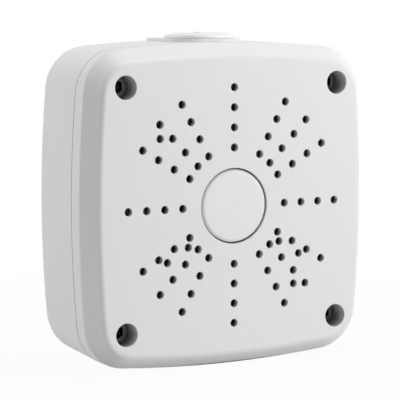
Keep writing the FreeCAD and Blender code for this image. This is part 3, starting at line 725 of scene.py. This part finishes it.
def makeCoverScrews():
    s = screwSizes
    top = -screwLow.y
    end = -screwHigh.y
    tip = end + s["tipEdge"]
    under = top - s["headHeight"]
    threadTop = end + s["threadLength"]
    threadFull = threadTop - s["thread"] + s["waist"]
    socketFloor = top - s["socketDepth"]
    half = s["socketHalf"]
    steps = [(0, socketFloor - s["socketCone"] * half), (s["socketDrill"] * half, socketFloor),
             (half, socketFloor, "hex"), (half, top - s["socketEdge"], "hex"),
             (half + s["socketEdge"], top, "hex")]
    steps += rounded((s["head"], top), (0, top), (s["head"], under), *s["headEdge"])
    steps += rounded((s["head"], under), (s["head"], top), (0, under), *s["underEdge"])
    steps += rounded((s["waist"], under), (s["head"], under), (s["waist"], threadTop),
                     *s["waistEdge"])
    steps += [(s["waist"], threadTop), (s["thread"], threadFull)]
    steps += evenSteps(s["thread"], threadFull, tip, s["pitch"] / s["stepsPerTurn"])
    steps += [(s["thread"], tip), (s["thread"] - s["tipEdge"], end), (0, end)]
    for number in screwNumbers:
        low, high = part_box("cover_screw_%d" % number)
        settings = {
            "Pitch": s["pitch"], "Depth": s["threadDepth"], "Start": end - s["pitch"],
            "End": threadTop, "Core": s["waist"] + s["threadGap"],
            "Place": (0.5 * (low.x + high.x), 0.0, 0.5 * (low.z + high.z)),
            "Turn": (math.pi / 2, 0.0, 0.0),
        }
        blank = turnedBlank("screw", steps, s["segments"])
        piece = cutThread("captive_screw_%d" % number, blank, settings, screwSteel)
        smooth(piece)
        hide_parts("cover_screw_%d" % number)
        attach(piece, "cover_screw_%d" % number)


makeCoverScrews()
print("cover screws made")


# Screwed plug of the top entry: low flange with a lip below, a nub and two key holes above,
# and a hollow threaded stem
plugSizes = {
    "flange": 14.8 * millimetre,
    "flangeHeight": 0.75 * millimetre,
    "flangeEdge": (0.75 * millimetre, 6),
    "lipWidth": 1.2 * millimetre,
    "lipDrop": 0.52 * millimetre,
    "lipEdge": (0.2 * millimetre, 2),
    "crown": 10.5 * millimetre,
    "crownRise": 0.75 * millimetre,
    "crownEdge": (1.5 * millimetre, 3),
    "nub": 2.25 * millimetre,
    "nubRise": 0.35 * millimetre,
    "nubFoot": (0.15 * millimetre, 2),
    "nubEdge": (0.15 * millimetre, 3),
    "keyHole": 1.5 * millimetre,
    "keyHolePlace": 8 * millimetre,
    "cutterAbove": 1 * millimetre,
    "cutterSegments": 32,
    "stem": 10.4 * millimetre,
    "stemLength": 10.5 * millimetre,
    "stemBore": 7.5 * millimetre,
    "stemEdge": 1 * millimetre,
    "relief": 1.2 * millimetre,     # the thread ends this far below the flange
    "threadDepth": 1 * millimetre,
    "threadReach": 1.1 * millimetre,  # from the stem's skin in to the core
    "pitch": 1.814 * millimetre,
    "stepsPerTurn": 14,
    "segments": 96,
}


def makeSidePlug():
    s = plugSizes
    bottom = plugLow.z
    under = bottom + s["stemLength"]
    relief = under - s["relief"]
    lip = under - s["lipDrop"]
    hollow = s["flange"] - s["lipWidth"]
    edge = under + s["flangeHeight"]
    crown = edge + s["crownRise"]
    nubTop = crown + s["nubRise"]
    steps = [(0, under), (s["stemBore"], under), (s["stemBore"], bottom),
             (s["stem"] - s["stemEdge"], bottom), (s["stem"], bottom + s["stemEdge"])]
    steps += evenSteps(s["stem"], bottom + s["stemEdge"], relief, s["pitch"] / s["stepsPerTurn"])
    steps += [(s["stem"], relief), (s["stem"], under), (hollow, under), (hollow, lip)]
    steps += rounded((s["flange"], lip), (hollow, lip), (s["flange"], edge), *s["lipEdge"])
    steps += rounded((s["flange"], edge), (s["flange"], lip), (s["crown"], crown), *s["flangeEdge"])
    steps += rounded((s["crown"], crown), (s["flange"], edge), (0, crown), *s["crownEdge"])
    steps += rounded((s["nub"], crown), (s["crown"], crown), (s["nub"], nubTop), *s["nubFoot"])
    steps += rounded((s["nub"], nubTop), (s["nub"], crown), (0, nubTop), *s["nubEdge"])
    steps += [(0, nubTop)]
    low = crown - s["flangeHeight"] / 2 - s["crownRise"]
    high = crown + s["cutterAbove"]
    cutterSteps = [(0, low), (s["keyHole"], low), (s["keyHole"], high), (0, high)]
    cutters = []
    for side in (-1, 1):
        cutter = addObject("pin", turnedBlank("pin", cutterSteps, s["cutterSegments"]))
        cutter.location.x = side * s["keyHolePlace"]
        cutters.append(cutter)
    settings = {
        "Pitch": s["pitch"], "Depth": s["threadDepth"], "Start": bottom - s["pitch"], "End": relief,
        "Core": s["stem"] - s["threadReach"], "Place": (0.0, entryY, 0.0),
        "Turn": (0.0, 0.0, 0.0),
    }
    blank = turnedBlank("plug", steps, s["segments"])
    piece = cutThread("entry_plug", blank, settings, entryPlastic, cutters)
    smooth(piece)
    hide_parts("side_plug")
    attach(piece, "side_plug")


makeSidePlug()
print("side plug made")


# Studio: a pale floor that turns pure white away from the object, a white world and soft lights
studio = {
    "floorZ": cadBounds[0][2],
    "floorHalf": 6.0,
    "floorColour": 0.62,
    "mottle": (0.05, 2.0),
    "mottleSpread": 0.01,
    "shadowShare": 0.04,            # how much of the floor's own shading the camera sees
    "fadeFrom": 0.12,
    "fadeTo": 0.30,
    "ambient": 0.26,
    "distance": 1.3,
    "size": 0.6,
    # name: degrees from the front towards the right, degrees up, watts
    "lamps": {
        "keyLamp": (40, 5, 9.5),
        "highLamp": (60, 70, 3.7),
        "rimLamp": (-120, 5, 5.8),
        "topLamp": (0, 88, 4.4),
    },
}


def seesBackdrop(tree):
    path = tree.nodes.new("ShaderNodeLightPath").outputs
    seen = doMath(tree, "MAXIMUM", path["Is Camera Ray"], path["Is Glossy Ray"])
    return doMath(tree, "MAXIMUM", seen, path["Is Transmission Ray"])


def makeFloor():
    material, tree, output, place = emptyMaterial("studioFloor")
    tone, spread = studio["floorColour"], studio["mottleSpread"]
    colour = mixColour(tree, noise(tree, place, *studio["mottle"]),
                       grey(tone - spread), grey(tone + spread))
    matt = addNode(tree, "ShaderNodeBsdfDiffuse", {"Color": colour})
    white = addNode(tree, "ShaderNodeEmission", {"Color": grey(1.0), "Strength": 1.0})
    away = addNode(tree, "ShaderNodeVectorMath", {0: place}, operation="LENGTH").outputs["Value"]
    share = ramp(tree, away, studio["fadeFrom"], studio["fadeTo"])
    shown = doMath(tree, "MULTIPLY_ADD", share, studio["shadowShare"], 1.0 - studio["shadowShare"])
    factor = doMath(tree, "MULTIPLY", shown, seesBackdrop(tree))
    mixed = addNode(tree, "ShaderNodeMixShader",
                    {0: factor, 1: matt.outputs[0], 2: white.outputs[0]})
    tree.links.new(mixed.outputs[0], output.inputs["Surface"])
    half, height = studio["floorHalf"], studio["floorZ"]
    corners = [(-half, -half, height), (half, -half, height),
               (half, half, height), (-half, half, height)]
    mesh = bpy.data.meshes.new("studioFloor")
    mesh.from_pydata(corners, [], [(0, 1, 2, 3)])
    mesh.materials.append(material)
    floor = addObject("studioFloor", mesh)


def makeWorld():
    world = bpy.data.worlds.new("studioWorld")
    world.use_nodes = True
    tree = world.node_tree
    tree.nodes.clear()
    soft = addNode(tree, "ShaderNodeBackground",
                   {"Color": grey(1.0), "Strength": studio["ambient"]})
    white = addNode(tree, "ShaderNodeBackground", {"Color": grey(1.0), "Strength": 1.0})
    mixed = addNode(tree, "ShaderNodeMixShader",
                    {0: seesBackdrop(tree), 1: soft.outputs[0], 2: white.outputs[0]})
    addNode(tree, "ShaderNodeOutputWorld", {"Surface": mixed.outputs[0]})
    scene.world = world


def makeLamps():
    target = Vector((0.0, 0.5 * frontY, 0.0))
    for name, (around, up, watts) in studio["lamps"].items():
        lamp = bpy.data.lights.new(name, "AREA")
        lamp.shape = "DISK"
        lamp.size = studio["size"]
        lamp.energy = watts
        around = math.radians(around)
        up = math.radians(up)
        way = Vector((math.sin(around) * math.cos(up), -math.cos(around) * math.cos(up),
                      math.sin(up)))
        holder = addObject(name, lamp)
        holder.location = target + way * studio["distance"]
        holder.rotation_euler = way.to_track_quat("Z", "Y").to_euler()


# The photograph's camera: a little to the left of the front and a little above it
view = {
    "place": (-0.38864, -0.71626, 0.08585),
    "downDegrees": 6.14,
    "turnDegrees": -29.02,
    "lens": 169.6,
    "sensor": 36.0,
    "nearest": 0.01,
}


def makeCamera():
    camera = bpy.data.cameras.new("camera")
    camera.lens = view["lens"]
    camera.sensor_width = view["sensor"]
    camera.clip_start = view["nearest"]
    holder = addObject("camera", camera)
    holder.location = view["place"]
    holder.rotation_euler = Euler((math.radians(90 - view["downDegrees"]), 0.0,
                                   math.radians(view["turnDegrees"])))
    scene.camera = holder


makeFloor()
makeWorld()
makeLamps()
makeCamera()
scene.view_settings.view_transform = "Standard"
print("studio made")
